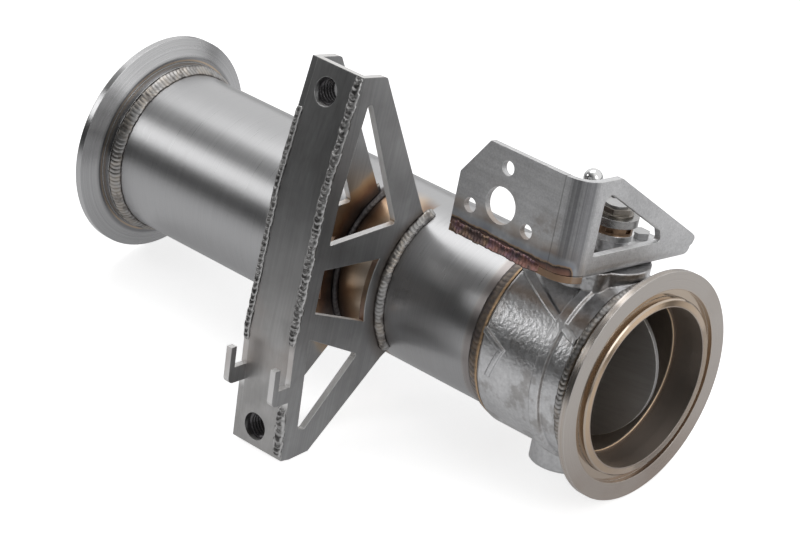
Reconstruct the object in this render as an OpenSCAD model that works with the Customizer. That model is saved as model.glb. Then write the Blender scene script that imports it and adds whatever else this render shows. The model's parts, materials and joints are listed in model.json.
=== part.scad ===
// Exhaust flap valve: a tube with two clamp flanges, a cast butterfly valve,
// a folded actuator bracket and a welded truss hanger.
// X runs along the tube, +Z is up, and the valve lies as it rests on a floor.
// The origin is the centre of the front flange's face.

/* [Tube and flanges] */
// Length from the rear flange face to the front flange face
overall_l = 300; // [280:1:420]
// Outer diameter of the tube
tube_od = 76.2; // [70:0.1:80]
// Wall of the tube
tube_wall = 1.6; // [1:0.1:2.5]
// Reach of both flange rims beyond the tube's outside
rim_reach = 13.9; // [12:0.1:18]
// Width of the rim band that a clamp grips
rim_w = 3; // [2:0.25:4]
// Length of the cone behind a rim
cone_l = 3.6; // [2.5:0.1:5]
// Step from a flange hub up to the end of its cone
cone_step = 2.5; // [1.5:0.1:4]
// Thickness of a flange hub beyond the tube's outside
hub_wall = 3.1; // [2:0.1:3.5]
// Length of the rear flange with its hub
rear_flange_l = 10.5; // [9:0.5:16]
// Length of the front flange with its hub
front_flange_l = 13.5; // [10:0.5:18]
// Width of the locating lip on the front face
lip_w = 3.7; // [2.5:0.1:4.5]
// Height of the locating lip
lip_h = 1.2; // [0.6:0.1:2]
// Width of the ring groove outside the lip
groove_w = 3.8; // [2:0.1:4.5]
// Depth of the ring groove
groove_depth = 2.2; // [1:0.1:3]

/* [Valve body] */
// Distance of the shaft behind the front face
shaft_back = 34.5; // [34:0.5:45]
// Turn of the valve about the tube, from square to the hanger
valve_clock = 2; // [-10:0.5:15]
// Length of the casting along the tube
body_l = 44.5; // [40:0.5:44.5]
// Wall of the casting's barrel outside the tube's bore
body_wall = 5; // [4:0.1:8]
// Step from the tube's bore in to the bore that the disc turns in
seat_step = 1.3; // [0.8:0.1:3]
// Height of the raised casting ribs
rib_h = 1.5; // [0.5:0.1:3]
// Width of the raised band round the casting
rib_w = 4.6; // [3:0.1:6]
// Diameter of the neck under the actuator bracket
neck_d = 40; // [34:0.5:42]
// Height of the machined pad above the barrel
pad_rise = 4.5; // [3.5:0.5:8]
// Diameter of the bracket lugs
lug_d = 14; // [12:0.5:16]
// Thickness of the bracket lugs
lug_t = 9; // [6:0.5:10]
// Diameter of the lower shaft boss
boss_d = 27; // [24:0.5:30]
// Depth of the lower boss below the barrel
boss_drop = 8; // [7:0.5:9]

/* [Shaft and flap] */
// Diameter of the valve shaft
shaft_d = 10; // [8:0.5:11]
// Running clearance on the shaft's radius
shaft_gap = 0.05; // [0.02:0.01:0.1]
// Outer diameter of the shaft bushes
bush_d = 14; // [13:0.5:15]
// Thickness of the disc
disc_t = 2.5; // [2:0.1:3]
// Gap between the disc and its bore
disc_gap = 0.4; // [0.3:0.05:0.8]
// Angle by which the resting flap stands open
flap_open = 77; // [60:1:80]
// Height of the disc screws' centres above and below the tube axis
disc_screw_z = 20; // [12:1:24]
// Diameter of the disc screws
disc_screw_d = 4; // [3:0.5:4.5]

/* [Lever stack] */
// Height of the bush tower above the pad
tower_h = 9.5; // [7:0.5:11]
// Diameter of the bush tower
tower_d = 16.5; // [16:0.5:18]
// Diameter of the thrust washer
washer_d = 19.6; // [18:0.2:22]
// Thickness of the thrust washer
washer_t = 2.5; // [1.5:0.25:3]
// Diameter of the castellated ring
ring_d = 18; // [15:0.5:19]
// Height of the castellated ring
ring_h = 3.8; // [2.4:0.1:4.5]
// Number of slots in the castellated ring
ring_slots = 6; // [4:1:8]
// Thickness of the lever
lever_t = 3.5; // [2.5:0.25:4]
// Radius from the shaft to the ball
lever_r = 26.8; // [22:0.2:28]
// Direction of the open lever, from +X
lever_angle = 152; // [140:1:156]
// Half width of the lever's arm
lever_half_w = 5.5; // [4.5:0.1:5.5]
// Radius of the lever's hub
lever_hub_r = 10.6; // [9:0.2:11]
// Width of the shaft nut across its flats
nut_af = 13; // [12:0.5:15]
// Height of the shaft nut
nut_h = 3.5; // [2.5:0.25:5]
// Diameter of the ball
ball_d = 8.6; // [8:0.1:10]
// Height of the ball's centre above the lever
ball_rise = 4.8; // [4.6:0.1:8]

/* [Actuator bracket] */
// Thickness of the folded sheet
sheet_t = 3; // [2:0.25:3]
// Inner radius of the fold between the face and the arm
fold_r = 7.7; // [6:0.1:8]
// Inner radius of the fold between the base and the arm
low_fold_r = 3; // [2:0.25:4]
// Distance of the actuator face in front of the shaft
face_y = 47; // [46:0.5:52]
// Reach of the actuator face behind the shaft
face_back = 48; // [44:1:52]
// Distance of the arm in front of the shaft
arm_x = 17.25; // [16:0.25:18]
// Height of the sheet's top edge above the tube axis
sheet_top = 90.6; // [86:0.5:96]
// Size of the sloped corner on the actuator face, along and up
corner_cut = [12.5, 18]; // [8:0.5:20]
// Place of the rod hole, behind the shaft and above the tube axis
rod_hole = [24, 66]; // [62:0.5:70]
// Diameter of the rod hole
rod_hole_d = 16; // [14:0.5:18]
// Pitch circle of the actuator's stud holes
stud_pcd = 33; // [32:0.5:36]
// Diameter of the actuator's stud holes
stud_hole_d = 6.4; // [5:0.1:7]
// Angle between the top stud hole and each side one
stud_angle = 110; // [100:1:120]
// Length of the arm's level top behind its fold
arm_top_l = 12; // [8:0.5:16]
// Reach of the arm behind the shaft
arm_reach = 37; // [36:0.5:41]
// Height of the arm's far corner above the base
arm_low_rise = 12.2; // [11:0.5:14]
// Width of the arm above its window
arm_rib = 7.7; // [7:0.1:9]
// Distance of the arm's window behind the large fold
window_back = 3; // [2:0.5:6]
// Height of the window's floor above the small fold
window_rise = 5.3; // [4:0.1:7]
// Place of the casting's side lug from the shaft
side_lug = [7.5, -15]; // [-18:0.5:8]
// Place of the front screw from the shaft
screw_front = [0, -19]; // [-20:0.5:0]
// Place of the rear screw from the shaft
screw_rear = [-4, 27]; // [-6:0.5:30]
// Diameter of the bracket screws
screw_d = 5; // [4:0.5:6]

/* [Hanger] */
// Centre of the hanger behind the front face
hanger_back = 133.3; // [110:1:170]
// Width of the hanger along the tube
hanger_w = 29.6; // [26:0.2:40]
// Thickness of the hanger's plates
plate_t = 3; // [2:0.25:4]
// Distance of the hanger's face from the tube axis, in its middle
hanger_face = 87; // [84:0.5:96]
// Depth by which the face leans back at both ends
hanger_lean = 6.7; // [3:0.1:9]
// Height of the hanger's top
hanger_top = 101; // [96:0.5:110]
// Depth of the hanger's foot
hanger_foot = 73.5; // [72:0.5:76]
// Height of the upper bend line
bend_top = 46; // [40:0.5:52]
// Depth of the lower bend line
bend_low = 20; // [16:0.5:24]
// Width of the strip left in front of the windows
front_strip = 8.2; // [6:0.2:9]
// Distance between the threaded bosses
boss_pitch = 153.3; // [150:0.1:156]
// Height of the upper threaded boss
boss_top = 89; // [87:0.5:90]
// Shift of the bosses off the hanger's centre
boss_shift = 2.6; // [0:0.1:2.8]
// Diameter of the bosses' tapped hole
tap_d = 10.2; // [8.5:0.1:10.5]
// Diameter of the clearance hole in the face
face_hole_d = 12.4; // [12:0.1:13]
// Outer diameter of the bosses
hanger_boss_d = 16; // [15:0.5:17]
// Length of the bosses
hanger_boss_l = 9; // [7:0.5:10]
// Width of a hook's slot
hook_gap = 7; // [5:0.1:8]
// Width of a hook's finger
finger_w = 3.1; // [2.5:0.1:4]
// Depth of the hook's floor below the tube axis
hook_floor = 38; // [36:0.5:40]
// Height of the finger above the hook's floor
finger_h = 10; // [8:0.5:14]
// Depth of the hook's foot below its floor
hook_foot = 7.5; // [5:0.5:9]

/* [Welds] */
// Leg of the welds between plates and tube
plate_weld = 4; // [3:0.1:5]
// Width of the bead at the rear flange
flange_bead_w = 6; // [4:0.5:7]
// Width of the bead at the casting's rear end
collar_bead_w = 7.5; // [5:0.5:9]
// Width of the bead on a seam
seam_w = 4.6; // [3:0.1:5]
// Height of the bead on a seam
seam_h = 1.6; // [1:0.1:2]

/* [Hidden] */
$fn = 96;
tube_r = tube_od / 2;
bore_r = tube_r - tube_wall;
flange_r = tube_r + rim_reach;
hub_r = tube_r + hub_wall;
lip_r = bore_r + lip_w;
body_r = bore_r + body_wall;
disc_bore_r = bore_r - seat_step;
pad_z = body_r + pad_rise;
boss_z = body_r + boss_drop;
body_x1 = -front_flange_l;
body_x0 = body_x1 - body_l;
rear_x = -overall_l;
tube_x0 = rear_x + rear_flange_l;
root_d = 2 * (shaft_back - front_flange_l) - 0.6;
disc_r = disc_bore_r - disc_gap;
axial_gap = 0.3;
seat_gap = 0.02;
edge_c = 0.6;

// The part lies on both rims and on the toes of the hanger's side plates.
toe_low = [hanger_lean + 16.3 - hanger_face, 2.3 - hanger_foot];
rest_roll = atan2(toe_low[1], toe_low[0]) + 180 - asin(flange_r / norm(toe_low));

module rest_hanger() rotate([-rest_roll, 0, 0]) children();
module rest_valve() rotate([valve_clock - rest_roll, 0, 0]) children();
module at_shaft() rest_valve() translate([-shaft_back, 0, 0]) children();
module at_lever() at_shaft() rotate([0, 0, lever_angle]) children();

// Turns a profile of [x, radius] points about the tube axis.
module turned(points, angle = 360) {
    rotate([90, 0, 90])
        rotate_extrude(angle = angle, $fn = 144)
            polygon([for (p = points) [p[1], p[0]]]);
}

// Tube and flanges

module main_tube() color("silver") {
    turned([[tube_x0, bore_r], [tube_x0, tube_r], [body_x0, tube_r], [body_x0, bore_r]]);
}

// Rim, clamp cone and hub, from the face at x = 0 backwards.
function flange_back(length) = [
    [-rim_w, flange_r],
    [-rim_w - cone_l, hub_r + cone_step],
    [-rim_w - cone_l, hub_r],
    [-length, hub_r],
    [-length, bore_r]];

module front_flange() color("gainsboro") {
    turned(concat([[lip_h, bore_r], [lip_h, lip_r - edge_c], [lip_h - edge_c, lip_r],
        [-groove_depth, lip_r], [-groove_depth, lip_r + groove_w], [0, lip_r + groove_w],
        [0, flange_r]], flange_back(front_flange_l)));
}

// The rear face has the recess that takes a front lip.
module rear_flange() color("gainsboro") {
    recess_r = lip_r + groove_w;
    recess_h = lip_h + axial_gap;
    translate([rear_x, 0, 0]) mirror([1, 0, 0])
        turned(concat([[-recess_h, bore_r], [-recess_h, recess_r], [0, recess_r],
            [0, flange_r]], flange_back(rear_flange_l)));
}

// A bead that fills the step between two radii.
module ring_bead(x, w, r_low, r_high, crown) {
    steps = 8;
    turned(concat([[x, r_low], [x + w, r_low]],
        [for (i = [steps:-1:0]) let (s = i / steps)
            [x + w * s, r_high + (r_low - r_high) * s * s + crown * sin(180 * s)]]));
}

module rear_flange_weld() color("darkgray") {
    ring_bead(tube_x0 + seat_gap, flange_bead_w, tube_r + seat_gap, hub_r - 0.6, 0.7);
}

module collar_weld() color("tan") {
    translate([body_x0, 0, 0]) mirror([1, 0, 0])
        ring_bead(seat_gap, collar_bead_w, tube_r + seat_gap, body_r - 0.6, 0.6);
}

// The front weld lies in the corner between the hub and the casting.
module front_flange_weld() color("darkgray") {
    step = body_r - hub_r;
    w = 3.2;
    h = 1.5;
    turned([[body_x1 + seat_gap, hub_r + seat_gap], [body_x1 + w, hub_r + seat_gap],
        [body_x1 + w * 0.7, hub_r + h * 0.7], [body_x1 + w * 0.35, hub_r + h],
        [body_x1 + seat_gap, hub_r + max(step, h)]]);
}

// Valve casting

// Plan of the bracket pad: the neck with two screw lugs.
module pad_plan() {
    circle(d = neck_d);
    for (p = [screw_front, screw_rear, side_lug]) {
        reach = norm(p);
        translate(p) circle(d = lug_d);
        rotate(atan2(p[1], p[0])) translate([0, -lug_d / 2]) square([reach, lug_d]);
    }
}

// Raised rib that follows the barrel between two places in plan, seen along -Y.
module barrel_rib(from, to, w) {
    run = to - from;
    intersection() {
        turned([[body_x0 + 0.5, body_r - 1], [body_x0 + 0.5, body_r + rib_h - 0.2],
            [body_x1 - 0.5, body_r + rib_h - 0.2], [body_x1 - 0.5, body_r - 1]]);
        translate([from[0], 0, from[1]])
            rotate([0, -atan2(run[1], run[0]), 0])
                translate([-w / 2, -body_r * 1.2, -w / 2])
                    cube([norm(run) + w, body_r * 1.2, w]);
    }
}

module barrel() {
    band = body_x0 + 30.6;
    crown = body_r + rib_h;
    slope = 0.8;
    turned([[body_x0, 0], [body_x0, body_r - 0.6], [body_x0 + 1, body_r],
        [band - slope, body_r], [band, crown], [band + rib_w, crown],
        [band + rib_w + slope, body_r], [body_x1, body_r], [body_x1, 0]]);
}

module valve_body() color("lightgray") rest_valve() {
    difference() {
        union() {
            barrel();
            for (side = [0, 1]) mirror([0, side, 0]) {
                barrel_rib([body_x0, body_r - 4.9], [body_x1, body_r / 2], 0.6 * rib_w);
                barrel_rib([body_x0, 10], [body_x0 + 11.5, 4.6], 0.5 * rib_w);
                barrel_rib([body_x0 + 11.5, 4.6], [body_x0 + 7, -8], 0.5 * rib_w);
            }
            translate([-shaft_back, 0, 0]) {
                cylinder(h = pad_z, d = neck_d);
                translate([0, 0, body_r * 0.6])
                    cylinder(h = pad_z - 8 - body_r * 0.6, d1 = root_d, d2 = neck_d);
                translate([0, 0, pad_z - lug_t])
                    linear_extrude(lug_t) pad_plan();
                cylinder(h = pad_z + tower_h, d = tower_d);
                translate([0, 0, -boss_z]) cylinder(h = boss_z, d = boss_d);
                translate([0, 0, -boss_z - edge_c])
                    cylinder(h = edge_c, d1 = boss_d - 2 * edge_c, d2 = boss_d);
            }
        }
        turned([[body_x0 - 1, 0], [body_x0 - 1, bore_r], [body_x0, bore_r],
            [body_x0 + edge_c, disc_bore_r], [body_x1 - edge_c, disc_bore_r],
            [body_x1, bore_r], [body_x1 + 1, bore_r], [body_x1 + 1, 0]]);
        translate([-shaft_back, 0, 0]) {
            cylinder(h = pad_z + tower_h + 1, d = bush_d);
            translate([0, 0, -boss_z - 1]) cylinder(h = boss_z + 1, d = bush_d);
            for (p = [screw_front, screw_rear])
                translate([p[0], p[1], pad_z - lug_t - 1])
                    cylinder(h = lug_t + 2, d = screw_d);
        }
    }
}

// Shaft parts, in the shaft's own frame

bush_z0 = disc_bore_r + 2;
seal_h = 3;
bush_top = pad_z + tower_h - seal_h;
plug_h = 3;
shaft_low = boss_z - plug_h - 1;
washer_z = pad_z + tower_h + axial_gap;
ring_z = washer_z + washer_t;
lever_z = ring_z + ring_h;
nut_z = lever_z + lever_t;
shaft_top = nut_z + nut_h + 1;

module tube_z(z0, z1, outer, inner) {
    translate([0, 0, z0]) difference() {
        cylinder(h = z1 - z0, d = outer);
        translate([0, 0, -1]) cylinder(h = z1 - z0 + 2, d = inner);
    }
}

module upper_bush() color("goldenrod") at_shaft()
    tube_z(bush_z0, bush_top, bush_d, shaft_d + 2 * shaft_gap);

module lower_bush() color("goldenrod") at_shaft()
    tube_z(-shaft_low, -bush_z0, bush_d, shaft_d + 2 * shaft_gap);

module shaft_seal() color("dimgray") at_shaft()
    tube_z(bush_top, bush_top + seal_h, bush_d, shaft_d + 2 * shaft_gap);

module shaft_end_plug() color("gray") at_shaft()
    translate([0, 0, -boss_z]) cylinder(h = plug_h, d = bush_d);

// The shaft is slotted for the disc and carries a flat-sided end for the lever.
module valve_shaft() color("silver") at_shaft() rotate([0, 0, -flap_open]) {
    slot_reach = disc_r + 0.2;
    difference() {
        translate([0, 0, -shaft_low]) cylinder(h = shaft_low + shaft_top, d = shaft_d);
        translate([-disc_t / 2 - seat_gap, -shaft_d, -slot_reach])
            cube([disc_t + 2 * seat_gap, 2 * shaft_d, 2 * slot_reach]);
        for (z = [-1, 1])
            translate([-shaft_d, 0, z * disc_screw_z]) rotate([0, 90, 0])
                cylinder(h = 2 * shaft_d, d = disc_screw_d);
    }
}

module valve_disc() color("dimgray") at_shaft() rotate([0, 0, -flap_open]) {
    difference() {
        translate([-disc_t / 2, 0, 0]) rotate([0, 90, 0])
            cylinder(h = disc_t, r = disc_r, $fn = 144);
        for (z = [-1, 1])
            translate([-disc_t, 0, z * disc_screw_z]) rotate([0, 90, 0])
                cylinder(h = 2 * disc_t, d = disc_screw_d);
    }
}

module disc_screws() color("gray") at_shaft() rotate([0, 0, -flap_open]) {
    head_h = 2.2;
    for (z = [-1, 1])
        translate([0, 0, z * disc_screw_z]) rotate([0, 90, 0]) {
            translate([0, 0, -shaft_d / 2]) cylinder(h = shaft_d, d = disc_screw_d);
            difference() {
                translate([0, 0, shaft_d / 2]) cylinder(h = head_h, d = 1.7 * disc_screw_d);
                translate([0, 0, shaft_d / 2 + 1]) cylinder(h = head_h, d = 2.6, $fn = 6);
            }
        }
}

module thrust_washer() color("white") at_shaft()
    tube_z(washer_z, ring_z, washer_d, shaft_d + 2 * seat_gap);

module castellated_ring() color("saddlebrown") at_shaft() {
    difference() {
        tube_z(ring_z, lever_z, ring_d, shaft_d + 2 * seat_gap);
        for (i = [0:ring_slots - 1])
            rotate([0, 0, i * 360 / ring_slots])
                translate([ring_d / 2 - 1.8, -1.6, ring_z + 0.9])
                    cube([3, 3.2, ring_h - 1.6]);
    }
}

// Lever, in a frame whose X axis points at the ball.
module lever_plan() {
    end_r = lever_half_w + 0.6;
    circle(r = lever_hub_r);
    translate([lever_r, 0]) circle(r = end_r);
    polygon([[0, -lever_half_w - 1.2], [lever_r, -end_r], [lever_r, lever_half_w],
        [0, lever_half_w]]);
}

module lever() color("silver") at_lever() {
    difference() {
        translate([0, 0, lever_z]) linear_extrude(lever_t) lever_plan();
        translate([0, 0, lever_z - 1]) cylinder(h = lever_t + 2, d = shaft_d + 2 * seat_gap);
        translate([lever_r, 0, lever_z - 1]) cylinder(h = lever_t + 2, d = 4.5);
    }
}

module lever_nut() color("peru") at_shaft() {
    difference() {
        union() {
            translate([0, 0, nut_z]) cylinder(h = 1, d = nut_af + 3);
            translate([0, 0, nut_z + 1]) cylinder(h = nut_h - 1, d = nut_af / cos(30), $fn = 6);
        }
        translate([0, 0, nut_z - 1]) cylinder(h = nut_h + 2, d = shaft_d + 2 * seat_gap);
    }
}

module ball_stud() color("gainsboro") at_lever() translate([lever_r, 0, 0]) {
    collar_h = 1.6;
    stem_d = 5;
    rivet_h = 1;
    ball_z = nut_z + ball_rise;
    translate([0, 0, lever_z - rivet_h]) cylinder(h = rivet_h, d = 6.5);
    translate([0, 0, lever_z]) cylinder(h = lever_t, d = 4.5);
    translate([0, 0, nut_z]) cylinder(h = collar_h, d = 8);
    translate([0, 0, nut_z + 1]) cylinder(h = ball_rise - 1, d = stem_d);
    translate([0, 0, ball_z]) sphere(d = ball_d, $fn = 64);
}

// Actuator bracket: base, arm, actuator face and stop tab, folded from one sheet

fold_out = fold_r + sheet_t;
low_out = low_fold_r + sheet_t;
base_top = pad_z + sheet_t;
fold_x = arm_x - fold_out;
fold_y = -face_y + fold_out;
low_x = arm_x - low_out;
face_gap = 0.3;
arm_fold_y1 = arm_reach - 2.4;
slit = 0.8;
tab_fold_r = 2;
tab_x = -12.5;
tab_y0 = 15.8;
tab_y1 = 27;
tab_top = pad_z + 20;
arm_low_z = pad_z + arm_low_rise;
rear_y = 36;

// Quarter ring of sheet about the Z axis, from -Y round to +X.
module quarter_fold(h, r_in) {
    rotate([0, 0, -90]) rotate_extrude(angle = 90)
        translate([r_in, 0]) square([sheet_t, h]);
}

module base_plan() {
    tab_root = tab_x + tab_fold_r;
    polygon([[-face_back, -face_y], [fold_x, -face_y], [fold_x, fold_y + slit],
        [low_x, fold_y + slit], [low_x, arm_fold_y1], [-1, rear_y], [tab_root, rear_y], [tab_root, tab_y0 - slit],
        [tab_x, tab_y0 - 3], [tab_x - 1, -7], [-face_back, -face_y + 6]]);
    intersection() {
        translate([fold_x, fold_y]) circle(r = fold_out);
        translate([fold_x - 1, -face_y]) square([fold_out + 1, fold_out - slit]);
    }
}

module face_plan() {
    x0 = -face_back;
    polygon([[x0, base_top + face_gap], [fold_x, base_top + face_gap],
        [fold_x, sheet_top], [x0 + corner_cut[0], sheet_top],
        [x0, sheet_top - corner_cut[1]]]);
}

// Arm outline in [y, z]: level top, long slope and rounded far corner.
arm_peak_y = fold_y + arm_top_l;
arm_slope = (sheet_top - arm_low_z) / (arm_reach - 3 - arm_peak_y);

module arm_plan() {
    difference() {
        polygon([[fold_y, base_top + face_gap], [fold_y + slit, base_top + face_gap],
            [fold_y + slit, pad_z + low_out], [arm_fold_y1, pad_z + low_out],
            [arm_reach - 0.9, pad_z + low_out + 1], [arm_reach, pad_z + low_out + 3],
            [arm_reach, arm_low_z - 3], [arm_reach - 0.7, arm_low_z - 1.5],
            [arm_reach - 3, arm_low_z], [arm_peak_y, sheet_top], [fold_y, sheet_top]]);
        arm_window();
    }
}

// Triangular window with a round corner at the top and a blunt tip.
module arm_window() {
    corner_r = 4;
    tip_r = 1.6;
    floor_z = pad_z + low_out + window_rise;
    left_y = fold_y + window_back;
    roof = sheet_top - arm_rib * sqrt(1 + arm_slope * arm_slope);
    tip_y = arm_peak_y + (roof - floor_z - 4.6) / arm_slope;
    hull() {
        translate([left_y + corner_r, roof - arm_slope * (left_y + corner_r - arm_peak_y)
            - corner_r * sqrt(1 + arm_slope * arm_slope)]) circle(r = corner_r, $fn = 32);
        translate([left_y + 0.6, floor_z + 0.6]) circle(r = 0.6, $fn = 32);
        translate([tip_y - tip_r, floor_z + tip_r]) circle(r = tip_r, $fn = 32);
        translate([tip_y - 2.2, floor_z + 4.8]) circle(r = 0.9, $fn = 32);
    }
}

module tab_plan() {
    z0 = base_top + tab_fold_r;
    flare_r = 6;
    difference() {
        polygon([[tab_y0, z0], [rear_y - 1, z0], [rear_y - 1, z0 + 0.6],
            [tab_y1, z0 + 0.6 + flare_r], [tab_y1, tab_top], [tab_y0, tab_top]]);
        translate([tab_y1 + flare_r + 1.6, z0 + 0.8 + flare_r]) circle(r = flare_r + 1.4);
    }
}

module actuator_bracket() color("darkgray") at_shaft() {
    difference() {
        union() {
            translate([0, 0, pad_z]) linear_extrude(sheet_t) base_plan();
            translate([0, -face_y + sheet_t, 0]) rotate([90, 0, 0])
                linear_extrude(sheet_t) face_plan();
            translate([fold_x, fold_y, base_top + face_gap])
                quarter_fold(sheet_top - base_top - face_gap, fold_r);
            translate([arm_x - sheet_t, 0, 0]) rotate([90, 0, 90])
                linear_extrude(sheet_t) arm_plan();
            translate([low_x, arm_fold_y1, pad_z + low_out]) rotate([90, 0, 0])
                quarter_fold(arm_fold_y1 - fold_y - slit, low_fold_r);
            translate([tab_x + tab_fold_r, tab_y0, base_top + tab_fold_r])
                rotate([-90, 0, 0]) rotate([0, 0, 90])
                    rotate_extrude(angle = 90)
                        translate([tab_fold_r, 0]) square([sheet_t, rear_y - 1 - tab_y0]);
            translate([tab_x - sheet_t, 0, 0]) rotate([90, 0, 90])
                linear_extrude(sheet_t) tab_plan();
        }
        translate([0, 0, pad_z - 1]) cylinder(h = sheet_t + 2, d = tower_d + 4);
        for (p = [screw_front, screw_rear])
            translate([p[0], p[1], pad_z - 1]) cylinder(h = sheet_t + 2, d = screw_d + 0.4);
        translate([-rod_hole[0], -face_y - 1, rod_hole[1]]) rotate([-90, 0, 0]) {
            cylinder(h = sheet_t + 2, d = rod_hole_d);
            for (a = [-1, 0, 1])
                rotate([0, 0, -90 + a * stud_angle]) translate([stud_pcd / 2, 0, 0])
                    cylinder(h = sheet_t + 2, d = stud_hole_d);
        }
    }
}

module bracket_screws() color("silver") at_shaft() {
    head_h = 0.6 * screw_d;
    head_af = 1.6 * screw_d;
    for (p = [screw_front, screw_rear]) translate([p[0], p[1], 0]) {
        translate([0, 0, pad_z - lug_t]) cylinder(h = lug_t + sheet_t, d = screw_d);
        translate([0, 0, base_top]) cylinder(h = head_h, d = head_af / cos(30), $fn = 6);
    }
}

// Low wide bead along the foot of the actuator face, over the base's edge.
module bracket_seam_weld() color("sienna") at_shaft() {
    x0 = -face_back + 1;
    wide = sheet_t + 2;
    crown = 0.9;
    bead_r = (wide * wide / 4 + crown * crown) / (2 * crown);
    intersection() {
        translate([x0, bead_r - face_y - crown - seat_gap, pad_z + 0.2 + wide / 2])
            rotate([0, 90, 0]) cylinder(h = fold_x - x0 + 1, r = bead_r);
        translate([x0 - 1, -face_y - 2 * crown - seat_gap, pad_z])
            cube([fold_x - x0 + 3, 2 * crown, 3 * sheet_t]);
    }
}

// Hanger, in its own frame with the face towards -Y

hanger_x0 = -hanger_back - hanger_w / 2;
hanger_x1 = hanger_x0 + hanger_w;
lean_top = atan(hanger_lean / (hanger_top - bend_top));
lean_low = atan(hanger_lean / (hanger_foot - bend_low));

// Distance of the face's front from the tube axis at a height.
function face_at(z) =
    z > bend_top ? hanger_face - (z - bend_top) * tan(lean_top)
    : z < -bend_low ? hanger_face - (-bend_low - z) * tan(lean_low)
    : hanger_face;

// Points [y, z] down the face, set back from its front.
function face_line(back, z_top, z_low) = [
    for (z = [z_top, bend_top, -bend_low, z_low])
        if (z <= z_top && z >= z_low) [-face_at(z) + back, z]];

// A point beside the tube, at an angle and a distance off its wall.
function off_tube(angle, gap) = (tube_r + gap) * [cos(angle), sin(angle)];

// Back edge and toe of the side plates, and the windows' corners.
back_top = [-65, hanger_top - 1];
back_low = off_tube(122, 5.5);
toe_top = off_tube(228, 4.8);
window_r = tube_r + 9;
upper_tip = hanger_top - 14;
upper_low = bend_top - 19;
upper_back = off_tube(141, 14.2);
lower_top = 2 - bend_low;
lower_back = off_tube(211.4, 17.2);
lower_tip = 15.5 - hanger_foot;
middle_top = bend_top - 31;
middle_low = 15 - bend_low;

module hook_plan() {
    root = -face_at(-hook_floor);
    outer = hook_gap + finger_w;
    corner_r = 3;
    translate([root, -hook_floor]) rotate(lean_low) {
        translate([-outer, corner_r - hook_foot]) square([finger_w, finger_h + hook_foot - corner_r]);
        translate([corner_r - outer, -hook_foot]) square([outer - corner_r + 3, hook_foot]);
        translate([corner_r - outer, corner_r - hook_foot]) circle(r = corner_r);
    }
}

module upper_window() {
    f = front_strip;
    hull() {
        translate([-face_at(upper_tip) + f + 1.6, upper_tip]) circle(r = 1.6, $fn = 32);
        translate([-face_at(bend_top) + f + 0.8, bend_top]) circle(r = 0.8, $fn = 32);
        translate([-face_at(upper_low) + f + 0.8, upper_low]) circle(r = 0.8, $fn = 32);
        translate(upper_back) circle(r = 1.2, $fn = 32);
    }
}

// The middle window keeps a round strip about the tube.
module middle_window() {
    y0 = -hanger_face + front_strip;
    difference() {
        polygon([[y0, middle_top], [-tube_r, middle_top + 1.6], [-tube_r, middle_low - 9.6],
            [y0, middle_low]]);
        circle(r = window_r, $fn = 144);
    }
}

module lower_window() {
    f = front_strip;
    hull() {
        translate([-face_at(lower_top) + f + 0.9, lower_top]) circle(r = 0.9, $fn = 32);
        translate(lower_back) circle(r = 1.4, $fn = 32);
        translate([-face_at(lower_tip) + f + 1.4, lower_tip]) circle(r = 1.4, $fn = 32);
        translate([-face_at(lower_tip) + f + 3.8, lower_tip - 0.6]) circle(r = 1.4, $fn = 32);
    }
}

module side_plan() {
    difference() {
        union() {
            polygon(concat(face_line(0, hanger_top, -hanger_foot),
                [[toe_low[0] - 11, -hanger_foot], toe_low, toe_top, [0, -10], [0, 10],
                back_low, back_top, [back_top[0] - 2, back_top[1] + 0.6]]));
            hook_plan();
        }
        circle(r = tube_r + seat_gap, $fn = 144);
        upper_window();
        middle_window();
        lower_window();
    }
}

module side_plate(x) {
    translate([x, 0, 0]) rotate([90, 0, 90]) linear_extrude(plate_t) side_plan();
}

module hanger_near_plate() color("dimgray") rest_hanger() side_plate(hanger_x1 - plate_t);
module hanger_far_plate() color("dimgray") rest_hanger() side_plate(hanger_x0);

boss_x = -hanger_back - boss_shift;
boss_low = boss_top - boss_pitch;

module hanger_face_plate() color("gray") rest_hanger() {
    difference() {
        translate([hanger_x0 + plate_t, 0, 0]) rotate([90, 0, 90])
            linear_extrude(hanger_w - 2 * plate_t)
                polygon(concat(face_line(0, hanger_top, -hanger_foot),
                    [for (i = [3:-1:0]) face_line(plate_t, hanger_top, -hanger_foot)[i]]));
        for (z = [boss_top, boss_low])
            translate([boss_x, -hanger_face - 5, z]) rotate([-90, 0, 0])
                cylinder(h = 20, d = face_hole_d);
    }
}

// Tapped boss behind the face, cut to the face's lean.
module threaded_boss(z, lean) {
    y0 = -face_at(z);
    difference() {
        translate([boss_x, y0 - 2, z]) rotate([-90, 0, 0])
            cylinder(h = hanger_boss_l + plate_t + 2, d = hanger_boss_d);
        translate([boss_x, y0 - 3, z]) rotate([-90, 0, 0])
            cylinder(h = hanger_boss_l + plate_t + 5, d = tap_d);
        translate([boss_x, y0, z]) rotate([lean, 0, 0])
            translate([-20, -20, -20]) cube([40, 20 + plate_t + seat_gap, 40]);
    }
}

module hanger_upper_boss() color("slategray") rest_hanger() threaded_boss(boss_top, -lean_top);
module hanger_lower_boss() color("slategray") rest_hanger() threaded_boss(boss_low, lean_low);

// Fillet round each boss, behind the face.
module boss_fillet(z, lean) {
    leg = 2.4;
    y0 = -face_at(z);
    difference() {
        translate([boss_x, y0 + plate_t, z]) rotate([-90, 0, 0])
            translate([0, 0, -2.5]) rotate_extrude()
                polygon([[hanger_boss_d / 2 + seat_gap, 0], [hanger_boss_d / 2 + leg, 0],
                    [hanger_boss_d / 2 + leg, 2.5], [hanger_boss_d / 2 + seat_gap, 2.5 + leg]]);
        translate([boss_x, y0, z]) rotate([lean, 0, 0])
            translate([-20, -20, -20]) cube([40, 20 + plate_t + seat_gap, 40]);
    }
}

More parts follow.
